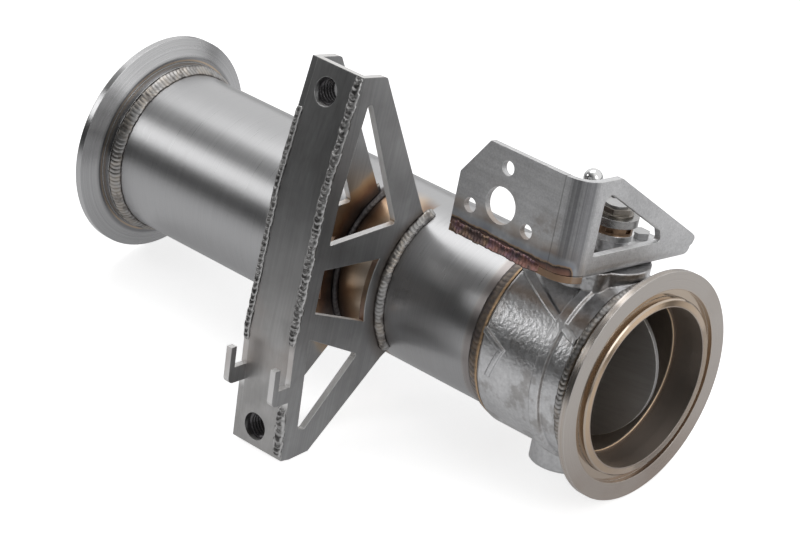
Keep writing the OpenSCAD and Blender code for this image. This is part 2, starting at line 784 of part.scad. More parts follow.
module boss_welds() color("darkgray") rest_hanger() intersection() {
    union() {
        boss_fillet(boss_top, -lean_top);
        boss_fillet(boss_low, lean_low);
    }
    translate([hanger_x0 + plate_t + seat_gap, -hanger_face, -hanger_foot - 20])
        cube([hanger_w - 2 * (plate_t + seat_gap), 40, hanger_foot + hanger_top + 40]);
}

// Low bead that runs down the face's front between two heights.
module seam_bead(x, z_top, z_low) {
    line = face_line(-seat_gap, z_top, z_low);
    seam_r = (seam_w * seam_w / 4 + seam_h * seam_h) / (2 * seam_h);
    lap = 0.2;
    for (i = [0:len(line) - 2]) {
        a = line[i];
        b = line[i + 1];
        run = b - a;
        translate([x, a[0], a[1]]) rotate([atan2(run[0], -run[1]), 0, 0])
            translate([0, 0, -norm(run) - lap]) intersection() {
                translate([0, seam_r - seam_h, 0]) cylinder(h = norm(run) + 2 * lap, r = seam_r);
                translate([-seam_w, -seam_h - 1, 0])
                    cube([2 * seam_w, seam_h + 1, norm(run) + 2 * lap]);
            }
    }
}

module near_seam_weld() color("silver") rest_hanger() {
    x = hanger_x1 - seam_w / 2;
    seam_bead(x, hanger_top - 1, 1 - bend_low);
    seam_bead(x, -hook_floor - hook_foot - 3, -hanger_foot + 2);
}

module far_seam_weld() color("silver") rest_hanger() {
    x = hanger_x0 + seam_w / 2;
    seam_bead(x, hanger_top - 23, -bend_low - 6);
}

// Fillet between a plate and the tube, on one side of the plate.
module tube_fillet(x, dir, a0, a1, leg) {
    r0 = tube_r + seat_gap;
    steps = 6;
    rotate([a0, 0, 0]) rotate([90, 0, 90])
        translate([0, 0, x]) rotate_extrude(angle = a1 - a0, $fn = 144)
            polygon(concat([[r0, dir * seat_gap]],
                [for (i = [0:steps]) let (a = 90 * i / steps)
                    [r0 + leg * (1 - sin(a)) * 0.999 + 0.001 + 0.5 * sin(2 * a),
                        dir * (seat_gap + leg * (1 - cos(a)) + 0.5 * sin(2 * a))]]));
}

weld_a0 = 116;
weld_a1 = 228;

module near_tube_weld() color("silver") rest_hanger() {
    tube_fillet(hanger_x1, 1, weld_a0, weld_a1, plate_weld);
}

module far_tube_weld() color("silver") rest_hanger() {
    tube_fillet(hanger_x0 + plate_t, 1, weld_a0, weld_a1, plate_weld / 2);
    tube_fillet(hanger_x0, -1, weld_a0, weld_a1, plate_weld);
}

main_tube();
rear_flange();
front_flange();
rear_flange_weld();
collar_weld();
front_flange_weld();
valve_body();
upper_bush();
lower_bush();
shaft_seal();
shaft_end_plug();
valve_shaft();
valve_disc();
disc_screws();
thrust_washer();
castellated_ring();
lever();
lever_nut();
ball_stud();
actuator_bracket();
bracket_screws();
bracket_seam_weld();
hanger_face_plate();
hanger_near_plate();
hanger_far_plate();
hanger_upper_boss();
hanger_lower_boss();
boss_welds();
near_seam_weld();
far_seam_weld();
near_tube_weld();
far_tube_weld();
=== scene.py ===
import json
import math
import random

import bpy
from mathutils import Matrix, Vector


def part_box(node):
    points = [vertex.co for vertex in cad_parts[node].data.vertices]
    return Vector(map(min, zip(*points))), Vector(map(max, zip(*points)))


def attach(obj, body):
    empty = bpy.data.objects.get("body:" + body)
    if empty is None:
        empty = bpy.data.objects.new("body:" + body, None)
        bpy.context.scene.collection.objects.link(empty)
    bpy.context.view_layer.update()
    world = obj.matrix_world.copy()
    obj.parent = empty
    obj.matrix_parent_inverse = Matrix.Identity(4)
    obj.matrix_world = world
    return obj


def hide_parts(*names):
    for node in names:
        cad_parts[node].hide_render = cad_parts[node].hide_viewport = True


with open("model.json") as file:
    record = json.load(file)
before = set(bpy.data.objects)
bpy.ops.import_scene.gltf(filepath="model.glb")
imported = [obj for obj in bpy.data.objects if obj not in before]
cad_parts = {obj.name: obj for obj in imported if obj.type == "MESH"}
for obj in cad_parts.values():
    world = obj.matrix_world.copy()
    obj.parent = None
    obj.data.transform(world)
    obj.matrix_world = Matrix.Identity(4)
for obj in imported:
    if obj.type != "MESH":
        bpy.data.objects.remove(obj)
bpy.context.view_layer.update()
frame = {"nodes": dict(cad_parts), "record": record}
NODE = frame["nodes"]
MM = 0.001

# Places are given in millimetres in the hanger's or the valve's own frame.
ROLL = math.radians(15.149454)  # the part lies rolled about the tube, on its rims and the hanger's toe
CLOCK = math.radians(2)  # turn of the valve against the hanger
SHAFT_X = -34.5  # the flap's shaft
TUBE_R = 38.1

# The hanger: outer sides of its two plates, and the front of its face, which leans back at both ends
HX0, HX1 = -148.1, -118.5
FACE, LEAN, TOP, FOOT = 87.0, 6.7, 101.0, 73.5
BEND_TOP, BEND_LOW = 46.0, 20.0


def hang(x, y, z):
    c, s = math.cos(ROLL), math.sin(ROLL)
    return Vector((x, y * c + z * s, -y * s + z * c)) * MM


def hang_dir(x, y, z):
    return hang(x, y, z).normalized()


def valve(x, y, z):
    c, s = math.cos(ROLL - CLOCK), math.sin(ROLL - CLOCK)
    return Vector((x + SHAFT_X, y * c + z * s, -y * s + z * c)) * MM


def valve_dir(x, y, z):
    return (valve(x, y, z) - valve(0, 0, 0)).normalized()


# ---------------------------------------------------------------- materials

class Tree:
    """A material's nodes, with short calls for the ones used here."""

    def __init__(self, name):
        self.mat = bpy.data.materials.new(name)
        self.mat.use_nodes = True
        self.t = self.mat.node_tree
        self.t.nodes.clear()
        self.out = self.t.nodes.new("ShaderNodeOutputMaterial")
        self.bsdf = self.t.nodes.new("ShaderNodeBsdfPrincipled")
        self.t.links.new(self.bsdf.outputs[0], self.out.inputs[0])
        self.co = self.t.nodes.new("ShaderNodeTexCoord").outputs["Object"]

    def link(self, a, b):
        self.t.links.new(a, b)

    def scaled(self, vec, s):
        n = self.t.nodes.new("ShaderNodeVectorMath")
        n.operation = "MULTIPLY"
        self.link(vec, n.inputs[0])
        n.inputs[1].default_value = s
        return n.outputs[0]

    def noise(self, scale, detail=3.0, rough=0.55, stretch=(1, 1, 1), vec=None):
        n = self.t.nodes.new("ShaderNodeTexNoise")
        self.link(self.scaled(vec or self.co, stretch), n.inputs["Vector"])
        n.inputs["Scale"].default_value = scale
        n.inputs["Detail"].default_value = detail
        n.inputs["Roughness"].default_value = rough
        return n.outputs[0]

    def math(self, op, a, b=0.0, c=0.0, clamp=False):
        n = self.t.nodes.new("ShaderNodeMath")
        n.operation = op
        n.use_clamp = clamp
        for i, v in enumerate((a, b, c)):
            if isinstance(v, bpy.types.NodeSocket):
                self.link(v, n.inputs[i])
            else:
                n.inputs[i].default_value = v
        return n.outputs[0]

    def mul(self, a, b, clamp=False):
        return self.math("MULTIPLY", a, b, clamp=clamp)

    def add(self, a, b):
        return self.math("ADD", a, b)

    def sub(self, a, b, clamp=False):
        return self.math("SUBTRACT", a, b, clamp=clamp)

    def total(self, *weighted, base=None):
        """Sum of values, each times its weight."""
        parts = [self.mul(value, weight) for value, weight in weighted]
        whole = parts[0]
        for part in parts[1:]:
            whole = self.add(whole, part)
        return whole if base is None else self.add(whole, base)

    def wobble(self, scale, detail, size, rough=0.55):
        """Noise about zero, of a given size."""
        return self.mul(self.sub(self.noise(scale, detail, rough), 0.5), size)

    def ramp(self, fac, stops):
        n = self.t.nodes.new("ShaderNodeValToRGB")
        self.link(fac, n.inputs[0])
        el = n.color_ramp.elements
        while len(el) < len(stops):
            el.new(0.5)
        for e, (p, c) in zip(el, sorted(stops)):
            e.position = p
            e.color = (*c, 1)
        return n.outputs[0]

    def level(self, fac, lo, hi, a=0.0, b=1.0):
        n = self.t.nodes.new("ShaderNodeMapRange")
        n.interpolation_type = "SMOOTHSTEP"
        n.inputs["From Min"].default_value = lo
        n.inputs["From Max"].default_value = hi
        n.inputs["To Min"].default_value = a
        n.inputs["To Max"].default_value = b
        self.link(fac, n.inputs["Value"])
        return n.outputs[0]

    def window(self, fac, low, low_full, high_full, high):
        """1 between low_full and high_full, 0 outside low and high."""
        return self.mul(self.level(fac, low, low_full), self.level(fac, high, high_full))

    def mix(self, fac, a, b):
        n = self.t.nodes.new("ShaderNodeMix")
        n.data_type = "RGBA"
        for sock, v in ((n.inputs[0], fac), (n.inputs[6], a), (n.inputs[7], b)):
            if isinstance(v, bpy.types.NodeSocket):
                self.link(v, sock)
            else:
                sock.default_value = (*v, 1) if isinstance(v, tuple) else v
        return n.outputs[2]

    def xyz(self, vec=None):
        n = self.t.nodes.new("ShaderNodeSeparateXYZ")
        self.link(vec or self.co, n.inputs[0])
        return n.outputs

    def hanger_co(self):
        """Coordinates in the hanger's own frame."""
        n = self.t.nodes.new("ShaderNodeVectorRotate")
        n.rotation_type = "X_AXIS"
        self.link(self.co, n.inputs["Vector"])
        n.inputs["Angle"].default_value = ROLL
        return n.outputs[0]

    def length(self, a, b):
        return self.math("SQRT", self.add(self.mul(a, a), self.mul(b, b)))

    def radius(self):
        """Distance from the tube's axis."""
        return self.length(*self.xyz()[1:])

    def combine(self, a, b=None):
        n = self.t.nodes.new("ShaderNodeCombineXYZ")
        self.link(a, n.inputs[0])
        if b is not None:
            self.link(b, n.inputs[1])
        return n.outputs[0]

    def true_normal(self):
        return self.t.nodes.new("ShaderNodeNewGeometry").outputs["True Normal"]

    def normal_dot(self, direction):
        """How far the flat normal points along a direction."""
        return self.dot(self.true_normal(), direction)

    def dot(self, vec, other):
        """Dot product with a socket or a fixed direction."""
        n = self.t.nodes.new("ShaderNodeVectorMath")
        n.operation = "DOT_PRODUCT"
        self.link(vec, n.inputs[0])
        if isinstance(other, bpy.types.NodeSocket):
            self.link(other, n.inputs[1])
        else:
            n.inputs[1].default_value = other
        return n.outputs["Value"]

    def bend(self, z, at, half, slope):
        """Height that spreads a sharp bend at z over a soft radius."""
        u = self.math("MINIMUM", self.math("ABSOLUTE", self.sub(z, at)), half)
        fall = self.mul(self.mul(u, u), 0.5 / half)
        return self.mul(self.sub(u, fall), slope / 2)

    def turned_grain(self, amount):
        """Stretches highlights as a lathe-turned surface does."""
        n = self.t.nodes.new("ShaderNodeTangent")
        n.direction_type = "RADIAL"
        n.axis = "X"
        self.link(n.outputs[0], self.bsdf.inputs["Tangent"])
        self.bsdf.inputs["Anisotropic"].default_value = amount
        self.bsdf.inputs["Anisotropic Rotation"].default_value = 0.25

    def attribute(self, name):
        n = self.t.nodes.new("ShaderNodeAttribute")
        n.attribute_name = name
        return n.outputs["Vector"]

    def bump(self, height, strength=0.3, distance=0.0002, normal=None):
        n = self.t.nodes.new("ShaderNodeBump")
        n.inputs["Strength"].default_value = strength
        n.inputs["Distance"].default_value = distance
        self.link(height, n.inputs["Height"])
        if normal is not None:
            self.link(normal, n.inputs["Normal"])
        return n.outputs[0]

    def rounded(self, radius):
        n = self.t.nodes.new("ShaderNodeBevel")
        n.samples = 6
        n.inputs["Radius"].default_value = radius
        return n.outputs[0]

    def edge(self, rounded, low=0.02, high=0.25):
        """1 along sharp edges, where the rounded normal leaves the flat one."""
        return self.level(self.sub(1.0, self.dot(self.true_normal(), rounded)), low, high)

    def finish(self, color, rough, metallic=1.0, normal=None, **fixed):
        b = self.bsdf
        self.link(color, b.inputs["Base Color"])
        if isinstance(rough, bpy.types.NodeSocket):
            self.link(rough, b.inputs["Roughness"])
        else:
            b.inputs["Roughness"].default_value = rough
        b.inputs["Metallic"].default_value = metallic
        if normal is not None:
            self.link(normal, b.inputs["Normal"])
        for k, v in fixed.items():
            b.inputs[k.replace("_", " ")].default_value = v
        return self.mat


def tube_steel():
    m = Tree("tube_steel")
    x = m.xyz()[0]
    lines = m.noise(1.0, 4, 0.6, (2600, 26, 26))
    fine = m.noise(1.0, 3, 0.6, (9000, 60, 60))
    cloud = m.noise(14, 3)
    grain = m.total((lines, 0.6), (fine, 0.4))
    col = m.ramp(grain, [(0.3, (0.39, 0.39, 0.395)), (0.7, (0.50, 0.50, 0.505))])
    col = m.mix(m.level(cloud, 0.35, 0.7, 0.0, 0.35), col, (0.43, 0.43, 0.435))
    # a narrow heat line beside the collar
    near = m.level(m.add(x, m.mul(m.noise(60, 2), 0.002)), -0.0700, -0.0665)
    hue = m.ramp(near, [(0.0, (0.44, 0.43, 0.42)), (0.4, (0.42, 0.33, 0.24)), (0.8, (0.22, 0.15, 0.12))])
    col = m.mix(m.mul(near, 0.4), col, hue)
    # between the hanger's plates the tube is browned, on the hanger's side only
    run = m.math("MULTIPLY_ADD", x, 1000.0 / 26, 147.0 / 26)
    run = m.add(run, m.wobble(45, 3, 0.35))
    hue = m.ramp(run, [
        (0.0, (0.06, 0.05, 0.05)), (0.12, (0.13, 0.09, 0.07)), (0.25, (0.33, 0.21, 0.13)),
        (0.42, (0.52, 0.38, 0.26)), (0.66, (0.60, 0.50, 0.40)), (0.86, (0.46, 0.35, 0.26)),
        (1.0, (0.26, 0.18, 0.13)),
    ])
    inside = m.window(x, -0.1496, -0.1478, -0.1200, -0.1190)
    depth = m.xyz(m.hanger_co())[1]
    facing = m.level(m.add(depth, m.mul(m.noise(60, 2), 0.012)), 0.001, -0.010)
    col = m.mix(m.mul(m.mul(inside, facing), 0.95), col, hue)
    rough = m.ramp(grain, [(0.25, (0.25,) * 3), (0.75, (0.36,) * 3)])
    return m.finish(col, rough, normal=m.bump(grain, 0.10, 0.00006))


# Radii in metres between which the tones of the flanges' turned steps fade in and out
HUB_EDGE = (0.0450, 0.0435)
GOLD_LINE = (0.0416, 0.0420, 0.0424, 0.0428)
GROOVE = (0.0394, 0.0399, 0.0438, 0.0446)
LIP = (0.0362, 0.0365, 0.0400, 0.0404)
BORE = (0.0372, 0.0369)


def flange_steel():
    m = Tree("flange_steel")
    x, _, z = m.xyz()
    r = m.radius()
    profile = m.combine(r, x)
    turned = m.noise(1.0, 4, 0.6, (3200, 3200, 0), vec=profile)
    broad = m.noise(1.0, 2, 0.5, (420, 420, 0), vec=profile)
    smudge = m.noise(26, 4, 0.6)
    # the front flange is warmer in tone than the rear one
    warm = m.level(x, -0.2, -0.1)
    cold = m.sub(1.0, warm)
    col = m.mix(warm, m.ramp(turned, [(0.3, (0.43, 0.43, 0.435)), (0.7, (0.55, 0.55, 0.555))]),
                m.ramp(turned, [(0.3, (0.44, 0.405, 0.375)), (0.7, (0.57, 0.53, 0.495))]))
    col = m.mix(m.mul(m.level(broad, 0.55, 0.75, 0, 0.35), warm), col, (0.50, 0.42, 0.35))
    # the rear one's hub is dark, with a gold line beside its bead
    cone = m.mul(m.level(r, *HUB_EDGE), cold)
    col = m.mix(m.mul(cone, 0.8), col, (0.26, 0.26, 0.265))
    line = m.window(r, *GOLD_LINE)
    col = m.mix(m.mul(line, m.sub(0.7, warm), clamp=True), col, (0.62, 0.48, 0.34))
    groove = m.mul(m.window(r, *GROOVE), warm)
    col = m.mix(m.mul(groove, 0.6), col, (0.55, 0.43, 0.31))
    # the lip between the groove and the bore is turned to a slight cone
    ahead = m.level(m.normal_dot((1, 0, 0)), 0.8, 0.95)
    lip = m.mul(m.window(r, *LIP), m.mul(ahead, warm))
    col = m.mix(lip, col, (0.55, 0.42, 0.30))
    bore = m.mul(m.level(r, *BORE), warm)
    col = m.mix(m.mul(bore, 0.85), col, (0.40, 0.34, 0.29))
    col = m.mix(m.mul(m.level(smudge, 0.5, 0.75, 0, 0.35), warm), col, (0.43, 0.375, 0.33))
    # browner towards the floor
    low = m.mul(m.level(z, 0.015, -0.05, 0, 0.8), warm)
    col = m.mix(m.mul(low, m.level(smudge, 0.35, 0.6, 0.6, 1.0)), col, (0.38, 0.32, 0.28))
    rnd = m.rounded(0.0004)
    rnd = m.bump(m.mul(r, m.mul(lip, -0.42)), 1.0, 1.0, rnd)
    edge = m.mul(m.edge(rnd), m.sub(1.0, lip))
    col = m.mix(m.mul(edge, 0.6), col, (0.75, 0.74, 0.72))
    rough = m.total((broad, 0.12), (smudge, 0.12))
    rough = m.add(rough, m.math("MULTIPLY_ADD", bore, 0.2, 0.13))
    rough = m.sub(rough, m.mul(m.math("MAXIMUM", lip, groove), 0.12), clamp=True)
    m.turned_grain(0.6)
    return m.finish(col, rough, normal=m.bump(turned, 0.16, 0.00005, rnd))


def cast_steel():
    m = Tree("cast_steel")
    lumps = m.noise(620, 2, 0.45)
    grit = m.noise(1700, 2, 0.5)
    wide = m.noise(60, 3)
    skin = m.total((lumps, 0.5), (wide, 0.5))
    col = m.ramp(skin, [(0.3, (0.50, 0.50, 0.505)), (0.7, (0.72, 0.72, 0.725))])
    rnd = m.rounded(0.0012)
    col = m.mix(m.mul(m.edge(rnd, 0.01, 0.2), 0.5), col, (0.82, 0.82, 0.82))
    rough = m.total((grit, 0.12), base=0.25)
    # peened on the barrel's upper side, smoother below
    x, _, z = m.xyz()
    lively = m.level(z, -0.03, 0.03, 0.55, 1.0)
    h = m.total((lumps, lively), (grit, 0.2))
    # the bore is machined and browned by heat
    r = m.radius()
    bore = m.level(r, 0.0369, 0.0366)
    lines = m.noise(1.0, 3, 0.6, (1800, 0, 0), vec=m.combine(x))
    soot = m.noise(60, 4, 0.6)
    tone = m.total((lines, 0.4), (soot, 0.6))
    brown = m.ramp(tone, [(0.35, (0.36, 0.30, 0.25)), (0.65, (0.52, 0.45, 0.385))])
    col = m.mix(bore, col, brown)
    # painted shade on the step that faces the front, with a painted highlight in gold along its rim
    painted_shade_seat = m.mul(bore, m.level(m.normal_dot((1, 0, 0)), 0.7, 0.95))
    painted_highlight_rim = m.level(r, 0.0357, 0.0354)
    col = m.mix(painted_shade_seat, col, m.mix(painted_highlight_rim, (0.15, 0.11, 0.085), (0.85, 0.64, 0.42)))
    rough = m.add(m.mul(bore, 0.2), rough)
    h = m.mul(h, m.sub(1.0, m.mul(bore, 0.92)))
    stain = m.mul(m.level(m.noise(75, 4, 0.65), 0.5, 0.64, 0, 0.55), m.sub(1.0, bore))
    col = m.mix(stain, col, (0.28, 0.26, 0.245))
    return m.finish(col, rough, normal=m.bump(h, 0.46, 0.0003, rnd))


# Tints over the beads, as colour ramps
BEAD_GREY = [
    (0.3, (0.13, 0.12, 0.12)), (0.44, (0.42, 0.41, 0.40)), (0.54, (0.46, 0.37, 0.27)),
    (0.6, (0.34, 0.31, 0.28)), (0.7, (0.16, 0.14, 0.13)),
]
BEAD_BROWN = [
    (0.3, (0.2, 0.15, 0.12)), (0.42, (0.30, 0.22, 0.15)), (0.5, (0.15, 0.115, 0.11)),
    (0.58, (0.26, 0.2, 0.15)), (0.7, (0.10, 0.08, 0.075)),
]
BEAD_RED = [
    (0.3, (0.30, 0.14, 0.11)), (0.42, (0.40, 0.19, 0.15)), (0.5, (0.27, 0.15, 0.2)),
    (0.58, (0.36, 0.22, 0.14)), (0.7, (0.15, 0.09, 0.085)),
]
RIPPLE = [
    (0.0, (0.10, 0.095, 0.09)), (0.16, (0.25, 0.245, 0.24)), (0.6, (0.46, 0.455, 0.45)),
    (1.0, (0.30, 0.295, 0.29)),
]


def weld_metal(name, hues, tinted, gold=0.0):
    """Rippled bead. gold is how strong the gold line along one toe is."""
    m = Tree(name)
    along, across = m.xyz(m.attribute("bead"))[:2]
    fine = m.noise(900, 3)
    blot = m.noise(230, 3)
    col = m.ramp(m.math("FRACT", along), RIPPLE)
    col = m.mix(tinted, col, m.ramp(m.noise(75, 3), hues))
    side = m.math("ABSOLUTE", across)
    col = m.mix(m.level(side, 0.72, 1.0, 0, 0.7), col, (0.13, 0.11, 0.10))
    col = m.mix(m.level(blot, 0.5, 0.68, 0, 0.75), col, (0.12, 0.11, 0.105))
    if gold:
        line = m.window(across, -1.0, -0.85, -0.7, -0.5)
        col = m.mix(m.mul(line, gold), col, (0.66, 0.45, 0.26))
        col = m.mix(m.level(across, 0.2, 0.8, 0, 0.6), col, (0.07, 0.06, 0.06))
    # between the hanger's plates the beads are darker
    inside = m.window(m.xyz()[0], -0.1472, -0.1464, -0.1196, -0.1188)
    col = m.mix(m.mul(inside, 0.85), col, (0.045, 0.04, 0.042))
    rough = m.total((fine, 0.2), base=0.26)
    return m.finish(col, rough, normal=m.bump(fine, 0.35, 0.00012))


def seam_metal():
    """A flat corner seam: dark pits between rims carrying a painted highlight."""
    m = Tree("seam_metal")
    along, across = m.xyz(m.attribute("bead"))[:2]
    fine = m.noise(1100, 3)
    blot = m.noise(260, 4, 0.65)
    side = m.math("ABSOLUTE", m.add(across, m.wobble(180, 2, 0.7)))
    drift = m.add(along, m.mul(m.noise(85, 3, 0.6), 3.2))
    swing = m.math("ABSOLUTE", m.sub(m.math("FRACT", drift), 0.5))
    pit = m.mul(m.level(swing, 0.42, 0.2), m.level(side, 0.72, 0.42))
    pit = m.mul(pit, m.level(blot, 0.38, 0.52, 0.35, 1.0))
    col = m.ramp(fine, [(0.3, (0.34, 0.335, 0.33)), (0.7, (0.50, 0.495, 0.49))])
    # painted highlight along the seam's two rims
    painted_highlight_rim = m.window(side, 0.5, 0.72, 0.85, 0.98)
    col = m.mix(m.mul(painted_highlight_rim, 0.7), col, (0.66, 0.655, 0.65))
    col = m.mix(m.mul(pit, 0.9), col, (0.075, 0.072, 0.07))
    col = m.mix(m.level(side, 0.9, 1.05, 0, 0.8), col, (0.11, 0.105, 0.10))
    rough = m.total((fine, 0.2), base=0.28)
    h = m.sub(m.mul(fine, 0.25), m.mul(pit, 0.9))
    return m.finish(col, rough, normal=m.bump(h, 0.6, 0.0003))


def plate_steel():
    m = Tree("plate_steel")
    x = m.xyz()[0]
    place = m.hanger_co()
    height = m.xyz(place)[2]
    r = m.radius()
    lines = m.noise(1.0, 4, 0.62, (800, 800, 18), vec=place)
    streak = m.noise(1.0, 3, 0.6, (120, 120, 6), vec=place)
    cloud = m.noise(24, 4, 0.6)
    scuff = m.noise(300, 4, 0.7)
    g = m.total((lines, 0.35), (cloud, 0.4), (streak, 0.25))
    col = m.ramp(g, [(0.34, (0.25, 0.25, 0.252)), (0.66, (0.41, 0.41, 0.412))])
    col = m.mix(m.level(scuff, 0.62, 0.8, 0, 0.25), col, (0.5, 0.5, 0.49))
    across = m.math("ABSOLUTE", m.normal_dot((1, 0, 0)))
    facing = m.level(m.normal_dot(hang_dir(0, -1, 0)), 0.9, 0.96)
    front = m.mul(m.level(across, 0.5, 0.1), facing)
    # the face gets lighter towards its foot
    foot = m.mul(m.level(height, 0.05, -0.045, 0, 0.75), front)
    col = m.mix(foot, col, m.ramp(g, [(0.34, (0.44, 0.43, 0.42)), (0.66, (0.60, 0.59, 0.58))]))
    rnd = m.rounded(0.0005)
    edge = m.edge(rnd, 0.015, 0.2)
    col = m.mix(m.mul(edge, 0.7), col, (0.64, 0.64, 0.63))
    # heat tint on the inner sides of the plates, near the tube
    near = m.level(m.sub(r, m.mul(m.noise(50, 3), 0.012)), 0.052, 0.034)
    between = m.window(x, -0.1475, -0.1465, -0.1192, -0.1186)
    hue = m.ramp(near, [
        (0.0, (0.36, 0.35, 0.34)), (0.2, (0.46, 0.37, 0.28)), (0.45, (0.40, 0.28, 0.18)),
        (0.75, (0.2, 0.12, 0.085)), (0.95, (0.08, 0.07, 0.075)),
    ])
    col = m.mix(m.mul(m.level(near, 0.0, 0.25), m.mul(between, 0.9)), col, hue)
    outer = m.sub(1.0, between)
    soot = m.level(r, 0.0475, 0.042, 0, 0.6)
    col = m.mix(m.mul(soot, outer), col, (0.20, 0.17, 0.15))
    # dark smudges
    smudge = m.level(m.noise(70, 3), 0.45, 0.7, 0, 0.35)
    col = m.mix(smudge, col, (0.24, 0.235, 0.23))
    # painted highlight on the laser-cut edges, bronze beside the tube
    cut = m.mul(m.level(across, 0.6, 0.3), m.sub(1.0, front))
    warm = m.level(r, 0.056, 0.046)
    col = m.mix(m.mul(cut, 0.85), col, m.mix(warm, (0.78, 0.77, 0.76), (0.72, 0.56, 0.43)))
    # and a painted highlight where the plates' own edges show in the face, between the hooks
    painted_highlight_strip = m.add(m.level(x, -0.1218, -0.1214), m.level(x, -0.1448, -0.1452))
    painted_highlight_strip = m.mul(m.mul(painted_highlight_strip, front), m.window(height, -0.050, -0.046, -0.024, -0.018))
    col = m.mix(m.mul(painted_highlight_strip, 0.75), col, (0.86, 0.85, 0.84))
    stain = m.mul(m.level(m.noise(28, 3), 0.5, 0.68, 0, 0.5), foot)
    col = m.mix(stain, col, (0.36, 0.29, 0.25))
    rough = m.total((g, 0.16), (cut, 0.25), base=0.28)
    h = m.total((lines, 0.6), (scuff, 0.4))
    # both bends of the face are soft
    top_slope = LEAN / (TOP - BEND_TOP)
    low_slope = LEAN / (FOOT - BEND_LOW)
    top_bend = m.bend(height, BEND_TOP * MM, 0.028, top_slope)
    low_bend = m.bend(height, -BEND_LOW * MM, 0.026, low_slope)
    fold = m.add(top_bend, low_bend)
    soft = m.bump(m.mul(fold, front), 1.0, 1.0, rnd)
    return m.finish(col, rough, normal=m.bump(h, 0.14, 0.00008, soft))


SCRIBE_X = SHAFT_X + 5.5


def bracket_steel():
    m = Tree("bracket_steel")
    speck = m.noise(1100, 3, 0.7)
    cloud = m.noise(35, 4, 0.6)
    rolled = m.noise(1.0, 3, 0.6, (30, 500, 500))
    g = m.total((speck, 0.4), (cloud, 0.35), (rolled, 0.25))
    col = m.ramp(g, [(0.36, (0.49, 0.49, 0.495)), (0.62, (0.75, 0.75, 0.755))])
    rnd = m.rounded(0.0005)
    edge = m.edge(rnd, 0.015, 0.2)
    col = m.mix(m.mul(edge, 0.7), col, (0.78, 0.78, 0.77))
    # heat tint above the seam along the foot of the actuator face
    height = m.dot(m.co, valve_dir(0, 0, 1))
    depth = m.dot(m.co, valve_dir(0, 1, 0))
    jag = m.wobble(130, 4, 0.0026, 0.7)
    wave = m.wobble(40, 2, 0.004)
    up = m.add(height, m.add(wave, jag))
    front = m.level(depth, -0.034, -0.044)
    near = m.mul(m.level(up, 0.0660, 0.0494), front)
    hue = m.ramp(near, [
        (0.0, (0.60, 0.59, 0.58)), (0.3, (0.52, 0.47, 0.43)), (0.55, (0.36, 0.31, 0.28)),
        (0.7, (0.36, 0.37, 0.39)), (0.86, (0.30, 0.32, 0.36)), (0.905, (0.42, 0.29, 0.19)),
        (0.935, (0.06, 0.055, 0.055)), (0.96, (0.14, 0.09, 0.08)), (1.0, (0.30, 0.17, 0.13)),
    ])
    patch = m.level(m.noise(60, 3, 0.6), 0.36, 0.62, 0.35, 1.0)
    patch = m.math("MAXIMUM", patch, m.level(near, 0.86, 0.9))
    col = m.mix(m.mul(m.level(near, 0.0, 0.3), patch), col, hue)
    # the heat also browned the lower stud holes' surroundings
    blotch = m.level(m.noise(48, 4, 0.65), 0.52, 0.66, 0, 0.55)
    burn = m.mul(blotch, m.mul(m.level(up, 0.080, 0.062), front))
    col = m.mix(burn, col, (0.30, 0.24, 0.20))
    # the bend's scribed line
    x = m.xyz()[0]
    scribe = m.math("ABSOLUTE", m.sub(x, SCRIBE_X * MM))
    col = m.mix(m.mul(m.level(scribe, 0.0004, 0.00015, 0, 0.42), front), col, (0.12, 0.11, 0.11))
    # painted dark reflection on the fold between face and arm, in streaks along it; the fold is also made smoother
    turn = m.mul(m.normal_dot(valve_dir(0, -1, 0)), m.normal_dot((1, 0, 0)))
    streaks = m.noise(1.0, 3, 0.6, (700, 700, 0), vec=m.combine(x, depth))
    fold = m.mul(m.level(turn, 0.08, 0.38), m.level(streaks, 0.3, 0.6, 0.6, 1.0))
    fold = m.mul(fold, m.level(near, 0.85, 0.55))
    col = m.mix(m.mul(fold, 0.85), col, (0.22, 0.22, 0.23))
    # the sheet's lower edge beside the seam is brown
    edge_low = m.mul(m.level(height, 0.0495, 0.0485), m.level(depth, -0.034, -0.038))
    col = m.mix(m.mul(edge_low, 0.8), col, (0.38, 0.26, 0.17))
    rough = m.total((g, 0.15), (fold, -0.12), base=0.42)
    return m.finish(col, rough, normal=m.bump(speck, 0.3, 0.0001, rnd))


def disc_steel():
    m = Tree("disc_steel")
    lines = m.noise(1.0, 4, 0.6, (60, 60, 900))
    cloud = m.noise(30, 4)
    g = m.total((lines, 0.5), (cloud, 0.5))
    col = m.ramp(g, [(0.3, (0.26, 0.255, 0.25)), (0.7, (0.36, 0.355, 0.35))])
    rnd = m.rounded(0.0004)
    col = m.mix(m.mul(m.edge(rnd, 0.01, 0.15), 0.9), col, (0.7, 0.68, 0.64))
    rough = m.total((g, 0.15), base=0.4)
    return m.finish(col, rough, normal=m.bump(lines, 0.1, 0.00006, rnd))


def plain_metal(name, dark, light, rough_at, scale=700, bevel=0.0003):
    m = Tree(name)
    fine = m.noise(scale, 4, 0.65)
    cloud = m.noise(90, 3)
    g = m.total((fine, 0.5), (cloud, 0.5))
    col = m.ramp(g, [(0.32, dark), (0.68, light)])
    rnd = m.rounded(bevel)
    lift = tuple(min(1.0, c * 1.35 + 0.05) for c in light)
    col = m.mix(m.mul(m.edge(rnd, 0.015, 0.2), 0.6), col, lift)
    rough = m.total((g, 0.16), base=rough_at - 0.08)
    return m.finish(col, rough, normal=m.bump(fine, 0.12, 0.00006, rnd))


def graphite():
    m = Tree("graphite")
    fine = m.noise(1200, 4, 0.7)
    col = m.ramp(fine, [(0.3, (0.03, 0.03, 0.03)), (0.7, (0.08, 0.08, 0.08))])
    return m.finish(col, 0.6, metallic=0.0, normal=m.bump(fine, 0.3, 0.0001))


